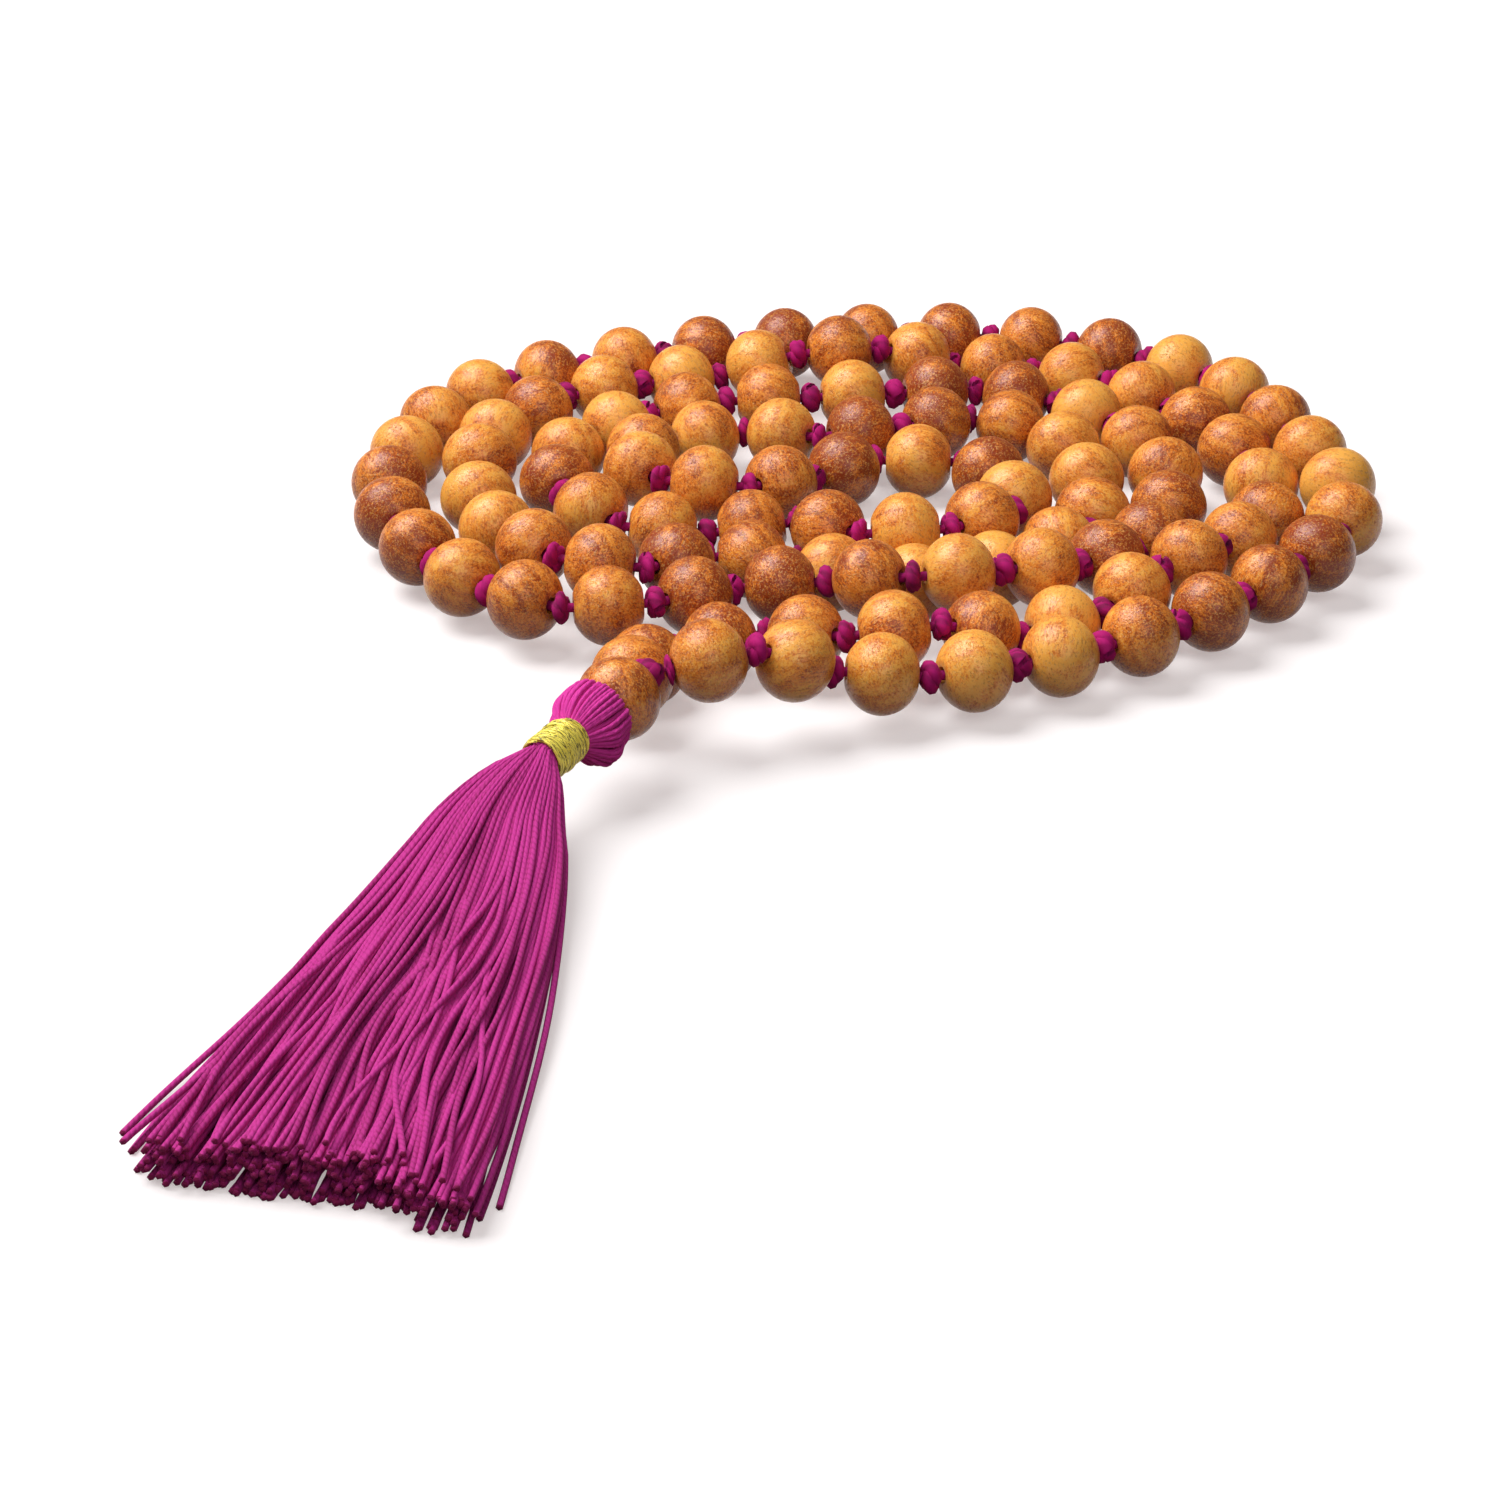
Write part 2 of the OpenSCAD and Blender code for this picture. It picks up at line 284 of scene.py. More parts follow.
def sandalwood(name, look):
    """Satin sandalwood: each bead's own tone, with patches, growth rings, streaks, pores and pits.

    Patterns lie in the bead's own grain, in millimetres, and run along its Z.
    """
    f = Finish(name)
    grain = f.attribute("grain", "Vector")
    tone = f.attribute("tone", "Fac")
    patch = f.noise(grain, scale=0.17, detail=2.0, rough=0.5, warp=0.8)
    streak = f.noise(f.stretch(grain, 0.12), scale=0.9, detail=4.0, rough=0.62, warp=0.6)
    fibre = f.noise(f.stretch(grain, 0.20), scale=4.6, rough=0.7)
    fleck = f.noise(f.stretch(grain, 0.40), scale=3.8, rough=0.75)
    speck = f.noise(f.stretch(grain, 0.70, (2, 9, 4)), scale=4.4, detail=2.0, rough=0.9) - 0.5
    across = f.node("ShaderNodeSeparateXYZ", None, {"Vector": grain})
    rings = (across * 4.2 + patch * 12.0 + streak * 2.0).sine()
    depth = tone + (patch - 0.5) * 1.6 + (streak - 0.5) * 1.2 + (fibre - 0.5) * 0.5
    depth = depth + rings * 0.12 + speck * 2.2

    pores = fleck.step(0.53, 0.64)
    pale = f.noise(f.stretch(grain, 0.45, (7, 3, 5)), scale=4.0, rough=0.75).step(0.54, 0.66)
    dust = f.noise(grain, scale=4.2, detail=2.0, rough=0.8).step(0.53, 0.66)
    chipped = (f.noise(grain, scale=0.10, detail=1.0) - 0.5) * 0.5
    pits = (f.noise(grain, scale=1.9, rough=0.7, warp=0.4) + chipped).step(0.79, 0.84)
    tint = f.blend(depth.step(0.0, 0.50), look.straw, look.honey)
    for cover, paint in (
        (depth.step(0.45, 1.05), look.heart),
        (pores * 0.42, look.pore),
        (pale * 0.42, look.straw),
        (dust * 0.46, look.dust),
        (pits * 0.75, look.pore),
    ):
        tint = f.blend(cover, tint, paint)
    relief = (1.0 - pores * 0.8) + (fibre - 0.5) * 0.5 + speck * 0.9 + dust * 0.4 - pits * 5.0
    return f.done(
        Base_Color=tint,
        Roughness=0.29 + pores * 0.25 + (patch - 0.5) * 0.12,
        Specular_IOR_Level=0.42,
        Normal=f.bump(relief, distance=0.025 * MM, strength=0.85),
    )


# Plies that pass in a millimetre of a strand, and how fuzzy its surface is
CORD_SPIN = (1.0, 0.45)
SKIRT_SPIN = (1.25, 1.0)
# The head's fuzz above 1 also paints its yarn lighter and richer, as painted light
HEAD_SPIN = (1.25, 2.2)


def spun_cotton(name, look, passing, fuzz, cut=None):
    """Dyed cotton: two plies that twist along the strand, with slanting fibres and a soft sheen.

    Where the strands' cut ends show, cut is their colour, painted darker as the shade inside the cut fibres. The
    grooves between the plies are painted darker as shade, and a fuzz above 1 paints the yarn lighter as painted
    light.
    """
    f = Finish(name)
    around, along = f.yarn_map()
    shade = f.attribute("shade", "Fac")
    ply = ((around * 2.0 + along * passing) * TURN).sine() * 0.5 + 0.5
    slant = f.vector(around * 9.0 + along * (passing * 2.0), along * 0.55, shade * 31.0)
    fibre = f.noise(slant, scale=2.6, rough=0.7)
    place = f.node("ShaderNodeTexCoord", out="Object")
    lint = f.noise(place, scale=4200.0, detail=2.0, rough=0.7)
    cloud = f.noise(place, scale=160.0, detail=2.0, rough=0.5)
    # The ply grooves pull the colour toward deep as painted shade; fibre, cloud and each strand's shade value vary
    # its tone
    light = 0.45 + ply.step(0.0, 0.6) * 0.22 + (fibre - 0.5) * 0.45
    light = light + (cloud - 0.5) * 0.30 + (shade - 0.5) * 0.35

    pale = [min(1.0, c * 1.25 + 0.05) for c in look.dyed]
    painted_light_tint = [min(1.0, c * 1.7) for c in look.dyed]
    tint = f.blend(light.step(0.15, 0.80), look.deep, look.dyed)
    tint = f.blend(lint.step(0.55, 0.75) * (0.30 * fuzz), tint, pale)
    # Painted light: a fuzz above 1 blends the yarn toward a lighter, richer tint
    if fuzz > 1:
        tint = f.blend((fuzz - 1) * 0.36, tint, painted_light_tint)
    if cut is not None:
        # Painted shade: the cut ends are blended toward the darker cut colour
        tint = f.blend(f.attribute("cut", "Fac") * 0.8, tint, cut)
    relief = ply**0.6 * 0.8 + fibre * 0.35 + lint * (0.25 * fuzz)
    return f.done(
        Base_Color=tint,
        Roughness=0.82 + (fibre - 0.5) * 0.2,
        Specular_IOR_Level=0.25,
        Sheen_Weight=0.35 * fuzz,
        Sheen_Roughness=0.45,
        Sheen_Tint=(*pale, 1.0),
        Normal=f.bump(relief, distance=0.06 * MM, strength=0.8),
    )


def metallic_thread(name, look):
    """Flat metallic yarn: bright crinkled foil, with painted shade in the slits between its facets."""
    f = Finish(name)
    around, along = f.yarn_map()
    slant = f.vector(around * 2.2, along * 0.32, 0.0)
    facet = f.cells(slant, scale=2.4)
    crinkle = f.noise(slant, scale=3.4, rough=0.7, warp=0.6)
    # Painted shade: the slits between the foil's facets are coloured toward the dark fold colour
    shaded_slit = (crinkle + (facet - 0.4) * 0.12).step(0.55, 0.58)
    return f.done(
        Base_Color=f.blend(shaded_slit * 0.92, look.gilt, look.gilt_fold_shade),
        Metallic=0.20 - shaded_slit * 0.15,
        Roughness=0.22 + crinkle * 0.3,
        Normal=f.bump(crinkle * -1.0 + facet * 0.5, distance=0.12 * MM, strength=0.9),
    )


# Light that the floor adds where it is seen, so that it shows white and keeps a soft shadow
FLOOR_GLOW = {"Color": (1.0, 0.893, 0.884, 1.0), "Strength": 1.23}
GLOW_SHARE = 0.34


def floor_paint(name, look):
    """Matt floor that is white to the camera and in gloss, and gives a warm light back."""
    f = Finish(name)
    camera = f.node("ShaderNodeLightPath", out="Is Camera Ray")
    seen = camera
    for kind in ("Is Glossy Ray", "Is Transmission Ray"):
        seen = seen.maths("MAXIMUM", camera.beside(kind))
    place = f.node("ShaderNodeTexCoord", out="Object")
    dull = [0.96 * c for c in look.floor]
    paper = f.blend(f.noise(place, scale=9.0, detail=2.0) * 0.03, look.floor, dull)
    paper = f.blend(seen, look.floor_bounce, paper)
    matt = f.node("ShaderNodeBsdfDiffuse", None, {"Color": paper, "Roughness": 1.0})
    glow = f.node("ShaderNodeEmission", None, FLOOR_GLOW)
    shader = f.node("ShaderNodeMixShader", None, {0: seen * GLOW_SHARE, 1: matt, 2: glow})
    f.node("ShaderNodeOutputMaterial", None, {"Surface": shader})
    return f.material


def clear_selection():
    """Leave edit mode and deselect everything."""
    if bpy.context.object and bpy.context.object.mode != "OBJECT":
        bpy.ops.object.mode_set(mode="OBJECT")
    bpy.ops.object.select_all(action="DESELECT")


def pick(piece, kind, wanted):
    """Select the faces or edges of a piece in edit mode that pass a test."""
    mesh = bmesh.from_edit_mesh(piece.data)
    bpy.ops.mesh.select_all(action="DESELECT")
    bpy.ops.mesh.select_mode(type="FACE" if kind == "faces" else "EDGE")
    found = [part for part in getattr(mesh, kind) if wanted(part)]
    for part in found:
        part.select_set(True)
    bmesh.update_edit_mesh(piece.data)
    if not found:
        raise RuntimeError(f"{piece.name}: no {kind} to work on")


def turn_bead(name, look, bore_d):
    """Turn one bead on the Z axis.

    It is a ball pressed a little flat, faced off at both ends, drilled and eased at its edges.
    """
    bead_d, flat_d, half = look.bead_d, look.flat_d, look.bead_l / 2
    press = half / math.sqrt(1 - (flat_d / bead_d) ** 2) / (bead_d / 2)

    def is_flat(face):
        return abs(face.normal.z) > 0.999 and len(face.verts) > 8

    def is_rim(edge):
        a, b = (vert.co for vert in edge.verts)
        level = all(abs(abs(co.z) - half) < 0.01 * MM for co in (a, b))
        return level and abs(a.xy.length - b.xy.length) < 0.02 * MM

    clear_selection()
    bpy.ops.mesh.primitive_uv_sphere_add(segments=40, ring_count=26, radius=bead_d / 2)
    bead = bpy.context.object
    bead.name = name
    bpy.ops.object.mode_set(mode="EDIT")
    bpy.ops.transform.resize(value=(1, 1, press))
    for side in (1, -1):
        bpy.ops.mesh.select_all(action="SELECT")
        bpy.ops.mesh.bisect(
            plane_co=(0, 0, side * half),
            plane_no=(0, 0, side),
            use_fill=True,
            clear_outer=True,
            threshold=1e-6,
        )
    pick(bead, "faces", is_flat)
    bpy.ops.mesh.inset(thickness=(flat_d - bore_d) / 2, use_individual=True)
    bpy.ops.mesh.delete(type="FACE")
    pick(bead, "edges", lambda edge: edge.is_boundary)
    bpy.ops.mesh.bridge_edge_loops(number_cuts=2)
    pick(bead, "edges", is_rim)
    bpy.ops.mesh.bevel(offset=look.ease, segments=2, affect="EDGES")
    bpy.ops.mesh.select_all(action="SELECT")
    bpy.ops.mesh.normals_make_consistent(inside=False)
    bpy.ops.object.mode_set(mode="OBJECT")
    bpy.ops.object.shade_smooth_by_angle(angle=math.radians(40))
    return bead


def turned_to(axis):
    """The rotation that brings Z to an axis."""
    return Vector((0, 0, 1)).rotation_difference(Vector(axis).normalized()).to_matrix()


def string_bead(pattern, name, place, axis, luck):
    """Copy the turned bead to its place, with its own cut and tone of wood."""
    log = 300  # Half the width of the wood that beads are cut from, in millimetres
    bead = pattern.copy()
    bead.data = pattern.data.copy()
    bead.name = bead.data.name = name
    bpy.context.scene.collection.objects.link(bead)
    points = np.empty(len(bead.data.vertices) * 3, np.float32)
    bead.data.vertices.foreach_get("co", points)
    points = points.reshape(-1, 3) / MM
    lie = Quaternion([luck.gauss(0, 1) for _ in range(4)]).normalized().to_matrix()
    cut = points @ np.array(lie).T + np.array([luck.uniform(-log, log) for _ in range(3)])
    grain = bead.data.attributes.new("grain", "FLOAT_VECTOR", "POINT")
    grain.data.foreach_set("vector", cut.astype(np.float32).ravel())
    tone = bead.data.attributes.new("tone", "FLOAT", "POINT")
    shade = min(1.0, max(0.02, luck.gauss(0.50, 0.27)))
    tone.data.foreach_set("value", np.full(len(points), shade, np.float32))
    spin = Matrix.Rotation(luck.uniform(0, TURN), 3, "Z")
    bead.data.transform(Matrix.Translation(place) @ (turned_to(axis) @ spin).to_4x4())
    return bead


def wear(piece, finish, node):
    """Give a piece its finish, let it ride with the node that it stands for, and hide that node."""
    piece.data.materials.clear()
    piece.data.materials.append(finish)
    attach(piece, BODY_OF[node])
    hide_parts(node)


def drilled_places(node):
    """Centre and bore axis of each bead that a node holds."""
    mesh = bmesh.new()
    mesh.from_mesh(frame["nodes"][node].data)
    bmesh.ops.remove_doubles(mesh, verts=mesh.verts, dist=1e-7)
    left, places = set(mesh.verts), []
    while left:
        island, edge = [], [left.pop()]
        while edge:
            vert = edge.pop()
            island.append(vert)
            for link in vert.link_edges:
                other = link.other_vert(vert)
                if other in left:
                    left.remove(other)
                    edge.append(other)
        points = np.array([v.co[:] for v in island])
        middle = (points.min(0) + points.max(0)) / 2
        away = points - middle
        reach = np.linalg.norm(away, axis=1)
        # The points nearer than a bead's equator lie about its bore, and spread most along it
        mouths = away[reach < reach.max() - 0.06 * MM]
        axis = np.linalg.eigh(mouths.T @ mouths)[1][:, -1]
        places.append((Vector(middle), Vector(axis)))
    mesh.free()
    return places


def strand_order(pitch):
    """Beads in the order of the strand, as (node, place, axis), with each axis pointing onwards."""
    slack = 0.6 * MM  # The most that the meeting points of two neighbours may lie apart
    singles, loose = {}, []
    for node in frame["nodes"]:
        if node.startswith("bead_"):
            joint = JOINTS["turn_" + node]
            place, axis = Vector(joint["pos_m"]), Vector(joint["axis"])
            singles[int(node.removeprefix("bead_"))] = (node, place, axis)
        elif node.startswith("beads_"):
            loose += [(node, place, axis) for place, axis in drilled_places(node)]
    order = [singles[k] for k in sorted(singles) if k <= len(singles) // 2]
    last_run = [singles[k] for k in sorted(singles) if k > len(singles) // 2]
    while loose:
        at = order[-1][1] + order[-1][2] * pitch / 2
        gaps = [
            ((place + side * axis * pitch / 2 - at).length, k, -side)
            for k, (_, place, axis) in enumerate(loose)
            for side in (1, -1)
        ]
        gap, k, way = min(gaps)
        if gap > slack:
            raise RuntimeError(f"the strand breaks after bead {len(order)}: {gap / MM:.2f} mm")
        node, place, axis = loose.pop(k)
        order.append((node, place, axis * way))
    return order + last_run


def tube(path, radius, sides=8, closed=False, flat=1.0, roll=0.0):
    """Points, faces and yarn map of a round strand along a path.

    The map gives turns round the strand and millimetres along it. radius may be one for each point.
    """
    path = np.asarray(path, float)
    count = len(path)
    ahead = np.roll(path, -1, 0) - np.roll(path, 1, 0) if closed else np.gradient(path, axis=0)
    ahead /= np.linalg.norm(ahead, axis=1)[:, None]
    side = np.cross(ahead[0], (0, 0, 1) if abs(ahead[0][2]) < 0.9 else (1, 0, 0))
    turn = np.arange(sides) * TURN / sides
    widths = np.broadcast_to(radius, count)
    rings = []
    for n in range(count):
        side = side - ahead[n] * (side @ ahead[n])
        side /= np.linalg.norm(side)
        up = np.cross(ahead[n], side)
        a, b = np.cos(turn)[:, None] * side, np.sin(turn)[:, None] * up * flat
        rings.append(path[n] + widths[n] * (a + b))
    after = path[:1] if closed else path[-1:]
    steps = np.linalg.norm(np.diff(path, axis=0, append=after), axis=1)
    along = np.concatenate(([0.0], np.cumsum(steps))) / MM
    faces, maps = [], []
    for n in range(count if closed else count - 1):
        here, there = n * sides, (n + 1) % count * sides
        for k in range(sides):
            j = (k + 1) % sides
            faces.append((here + k, here + j, there + j, there + k))
            u0, u1 = k / sides + roll, (k + 1) / sides + roll
            v0, v1 = along[n], along[n + 1]
            maps.append(((u0, v0), (u1, v0), (u1, v1), (u0, v1)))
    if not closed:
        for n, order in ((0, range(sides - 1, -1, -1)), (count - 1, range(sides))):
            faces.append(tuple(n * sides + k for k in order))
            maps.append(tuple((k / sides, along[n]) for k in order))
    return np.concatenate(rings), faces, maps


UNCUT = 0.0


def lay_yarn(name, runs):
    """One mesh of many strands.

    Each run is (points, faces, maps, shade, cut). cut is 1 where an end is cut and UNCUT elsewhere,
    and may be one number or one for each point.
    """
    points, faces, maps, shades, cuts = [], [], [], [], []
    start = 0
    for run_points, run_faces, run_maps, shade, cut in runs:
        points.append(run_points)
        faces += [tuple(v + start for v in face) for face in run_faces]
        maps += run_maps
        shades.append(np.full(len(run_points), shade))
        cuts.append(np.broadcast_to(cut, len(run_points)))
        start += len(run_points)
    mesh = bpy.data.meshes.new(name)
    mesh.from_pydata(np.concatenate(points).tolist(), [], faces)
    layer = mesh.uv_layers.new(name="Yarn")
    corners = np.array([corner for face in maps for corner in face], np.float32)
    layer.uv.foreach_set("vector", corners.ravel())
    for label, values in (("shade", shades), ("cut", cuts)):
        data = mesh.attributes.new(label, "FLOAT", "POINT")
        data.data.foreach_set("value", np.concatenate(values).astype(np.float32))
    piece = bpy.data.objects.new(name, mesh)
    bpy.context.scene.collection.objects.link(piece)
    mesh.polygons.foreach_set("use_smooth", np.ones(len(mesh.polygons), bool))
    mesh.update()
    return piece


def knot_run(cord_d, knot_d):
    """A tight knot about the Z axis: the cord goes twice round and three times through."""
    thick = 0.8 * cord_d  # Radius of the cord where the knot puffs it up
    turn = np.linspace(0, TURN, 54, endpoint=False)
    out = 2 + np.cos(3 * turn)
    path = np.stack([out * np.cos(2 * turn), out * np.sin(2 * turn), np.sin(3 * turn) * 1.1], 1)
    return tube(path * (knot_d / 2 - thick) / 3, thick, closed=True)


def placed(run, matrix):
    """A run of yarn moved by a matrix."""
    points, faces, maps = run
    matrix = np.array(matrix)
    return points @ matrix[:3, :3].T + matrix[:3, 3], faces, maps


def pendant(x, across=0.0, up=0.0):
    """A point on the tassel's own line: x from the gather knot, across to its side and up."""
    side = Vector((0, 0, 1)).cross(TASSEL_DIR).normalized()
    top = TASSEL_DIR.cross(side)
    return GATHER + TASSEL_DIR * x + side * across + top * up


def cord_finish(look):
    return finish_named("spun_cord", spun_cotton, look, *CORD_SPIN)


class MALA_OT_string_beads(bpy.types.Operator):
    """Turn the counting beads and string them in their places"""

    bl_idname = "mala.string_beads"
    bl_label = "String Beads"

    def execute(self, context):
        look, cord = context.scene.mala_beads, context.scene.mala_cord
        pattern = turn_bead("bead_pattern", look, look.bore_d)
        wood = finish_named("turned_sandalwood", sandalwood, look)
        luck = random.Random(108)
        strung = {}
        for count, (node, place, axis) in enumerate(strand_order(cord.pitch), 1):
            bead = string_bead(pattern, f"turned_bead_{count:03d}", place, axis, luck)
            strung.setdefault(node, []).append(bead)
        for node, beads in strung.items():
            clear_selection()
            for bead in beads:
                bead.select_set(True)
            context.view_layer.objects.active = beads[0]
            if len(beads) > 1:
                bpy.ops.object.join()
                beads[0].name = "turned_" + node
            wear(beads[0], wood, node)
        bpy.data.objects.remove(pattern)
        return {"FINISHED"}


class MALA_OT_guru_bead(bpy.types.Operator):
    """Turn the guru bead and set it above the tassel"""

    bl_idname = "mala.guru_bead"
    bl_label = "Guru Bead"

    def execute(self, context):
        look = context.scene.mala_beads
        pattern = turn_bead("guru_pattern", look, look.guru_bore_d)
        bead = string_bead(pattern, "turned_guru_bead", GURU, TASSEL_DIR, random.Random(9))
        bpy.data.objects.remove(pattern)
        wood = finish_named("turned_sandalwood", sandalwood, look)
        wear(bead, wood, "guru_bead")
        return {"FINISHED"}


class MALA_OT_knotted_cord(bpy.types.Operator):
    """Run the cord through every bead and tie a knot between every two"""

    bl_idname = "mala.knotted_cord"
    bl_label = "Knotted Cord"

    def execute(self, context):
        look, bead_l = context.scene.mala_cord, context.scene.mala_beads.bead_l
        order = strand_order(look.pitch)
        luck = random.Random(21)
        knot = knot_run(look.cord_d, look.knot_d)
        runs = []
        for count, (_, place, axis) in enumerate(order, 1):
            end = (place - GATHER).length - look.gather_d / 2
            back = end if count == 1 else look.pitch / 2
            on = end if count == len(order) else look.pitch / 2
            path = [place + axis * s for s in np.linspace(-back, on, 14)]
            runs.append((*tube(path, look.cord_d / 2), luck.random(), UNCUT))
        for (_, place, axis), (_, _, onward) in zip(order, order[1:]):
            shape = self.squeezed(look, (look.pitch - bead_l) / 2, axis.angle(onward) / 2)
            spin = Matrix.Rotation(luck.uniform(0, TURN), 4, "Z")
            lean = Matrix.Rotation(luck.uniform(-0.12, 0.12), 4, "X")
            at = Matrix.Translation(place + axis * look.pitch / 2)
            matrix = at @ turned_to(axis + onward).to_4x4() @ shape @ lean @ spin
            runs.append((*placed(knot, matrix), luck.random(), UNCUT))
        for (_, place, axis), side in ((order[0], -1), (order[-1], 1)):
            # A flat coil fills the room between an end bead and the gather knot
            room = (place - GATHER).length - look.gather_d / 2 - bead_l / 2
            shape = Matrix.Diagonal((0.92, 0.92, (room - 0.1 * MM) / look.knot_l, 1.0))
            at = Matrix.Translation(place + side * axis * (bead_l + room) / 2)
            matrix = at @ turned_to(axis).to_4x4() @ shape
            runs.append((*placed(knot, matrix), luck.random(), UNCUT))
        piece = lay_yarn("cotton_cord", runs)
        wear(piece, cord_finish(look), "knotted_cord")
        return {"FINISHED"}

    def squeezed(self, look, room, tilt):
        """The shape of a knot that clears both its beads, which tilt and leave it room each side."""
        rim_gap, end_gap = 0.10 * MM, 0.05 * MM
        slope = math.sin(tilt)
        reach = min(look.knot_d / 2, (room - rim_gap) / max(slope, 0.01))
        thick = (room - end_gap - 0.6 * reach * slope) / (look.knot_l / 2)
        wide = reach / (look.knot_d / 2)
        return Matrix.Diagonal((wide, wide, min(1.15, max(0.5, thick)), 1.0))


class MALA_OT_gather_knot(bpy.types.Operator):
    """Tie the gather knot where both ends of the strand meet"""

    bl_idname = "mala.gather_knot"
    bl_label = "Gather Knot"

    def execute(self, context):
        look = context.scene.mala_cord
        luck = random.Random(4)
        knot = knot_run(look.cord_d, look.gather_d)
        at = Matrix.Translation(GATHER) @ turned_to(TASSEL_DIR).to_4x4()
        runs = []
        for lean, wide in ((0.5, 0.98), (-0.6, 0.9)):
            shape = Matrix.Rotation(lean, 4, "X") @ Matrix.Diagonal((wide, wide, 1.25, 1.0))
            runs.append((*placed(knot, at @ shape), luck.random(), UNCUT))
        piece = lay_yarn("tied_gather_knot", runs)
        wear(piece, cord_finish(look), "gather_knot")
        return {"FINISHED"}


class MALA_OT_tassel_tie(bpy.types.Operator):
    """Lead both cord ends through the guru bead and knot them inside the head"""

    bl_idname = "mala.tassel_tie"
    bl_label = "Tassel Tie"

    def execute(self, context):
        look, bead = context.scene.mala_cord, context.scene.mala_beads
        offset, r, knot_d = 0.55 * MM, 0.48 * MM, 3.0 * MM
        start = look.gather_d / 2 + 0.1 * MM
        inside = (GURU - GATHER).length + bead.bead_d / 2 + 2.3 * MM
        runs = []
        for side in (-1, 1):
            path = [pendant(x, side * offset) for x in np.linspace(start, inside, 24)]
            runs.append((*tube(path, r), 0.5, UNCUT))
        at = Matrix.Translation(pendant(inside)) @ turned_to(TASSEL_DIR).to_4x4()
        runs.append((*placed(knot_run(look.cord_d, knot_d), at), 0.4, UNCUT))
        piece = lay_yarn("tied_tassel_cord", runs)
        wear(piece, cord_finish(look), "tassel_tie")
        return {"FINISHED"}


def head_line(tassel, bead):
    """Where the head's middle and the binding's start are, measured from the gather knot."""
    middle = (GURU - GATHER).length + bead.bead_d / 2 + 0.7 * MM
    return middle, middle + tassel.head_d / 2 - 0.55 * MM


def smooth(at, values):
    """Values read between their whole places along a smooth curve."""
    last = len(values) - 1
    k = np.clip(at.astype(int), 0, last - 1)
    t = at - k
    before, after = values[np.maximum(k - 1, 0)], values[np.minimum(k + 2, last)]
    a, b = values[k], values[k + 1]
    third = 3 * (a - b) + after - before
    second = 2 * before - 5 * a + 4 * b - after + t * third
    return a + 0.5 * t * (b - before + t * second)


# How a strand folds over the head: along the tassel from the head's middle, in millimetres,
# out from the tassel's line, in head radii, and how freely it lies
FOLD = (
    (-0.1, 0.40, 0.0),
    (-0.7, 0.56, 0.1),
    (-1.25, 0.78, 0.3),
    (-1.5, 0.88, 0.6),
    (-1.2, 0.93, 0.9),
    (-0.3, 0.93, 1.0),
    (0.8, 0.90, 1.0),
    (1.8, 0.80, 0.9),
    (2.6, 0.63, 0.6),
    (3.1, 0.50, 0.3),
    (3.6, 0.45, 0.1),
    (5.0, 0.43, 0.0),
)


class MALA_OT_tassel_head(bpy.types.Operator):
    """Fold the yarn over into the tassel's head"""

    bl_idname = "mala.tassel_head"
    bl_label = "Tassel Head"

    def execute(self, context):
        tassel, bead = context.scene.mala_tassel, context.scene.mala_beads
        middle, _ = head_line(tassel, bead)
        luck = random.Random(33)
        runs = []
        bulge, r = tassel.head_d / 2, 0.72 * tassel.strand_d / 2
        fold = np.array(FOLD)
        at = np.linspace(0, len(fold) - 1, 40)
        along, out, free = (smooth(at, fold[:, n]) for n in range(3))
        puff = 0.95 * MM * np.exp(-(((along - 1.3) / 1.3) ** 2))
        for layer, (count, sink) in enumerate(((58, 0.0), (44, 0.35 * MM))):
            for k in range(count):
                angle = TURN * (k + luck.uniform(-0.25, 0.25) + 0.5 * layer) / count
                swell = luck.uniform(-0.14, 0.14) * MM
                # The head puffs out on one side
                puffed = math.exp(-((math.remainder(angle + 0.55, TURN) / 0.75) ** 2))
                reach = out * bulge + free * (swell - sink) + puff * puffed
                turns = angle + luck.gauss(0, 0.12) * at / len(fold)
                path = [
                    pendant(middle + x * MM, q * math.cos(a), q * math.sin(a))
                    for x, q, a in zip(along, reach, turns)
                ]
                strand = tube(path, r, roll=luck.random())
                # Painted light: the head's strands take high shade values, so their yarn is painted lighter
                runs.append((*strand, luck.uniform(0.6, 1.2), UNCUT))
        piece = lay_yarn("folded_tassel_head", runs)
        finish = finish_named("folded_yarn", spun_cotton, tassel, *HEAD_SPIN)
        wear(piece, finish, "tassel_head")
        return {"FINISHED"}


# Range from which the start of a wave is drawn, in radians
PHASES = (0, 6.3)


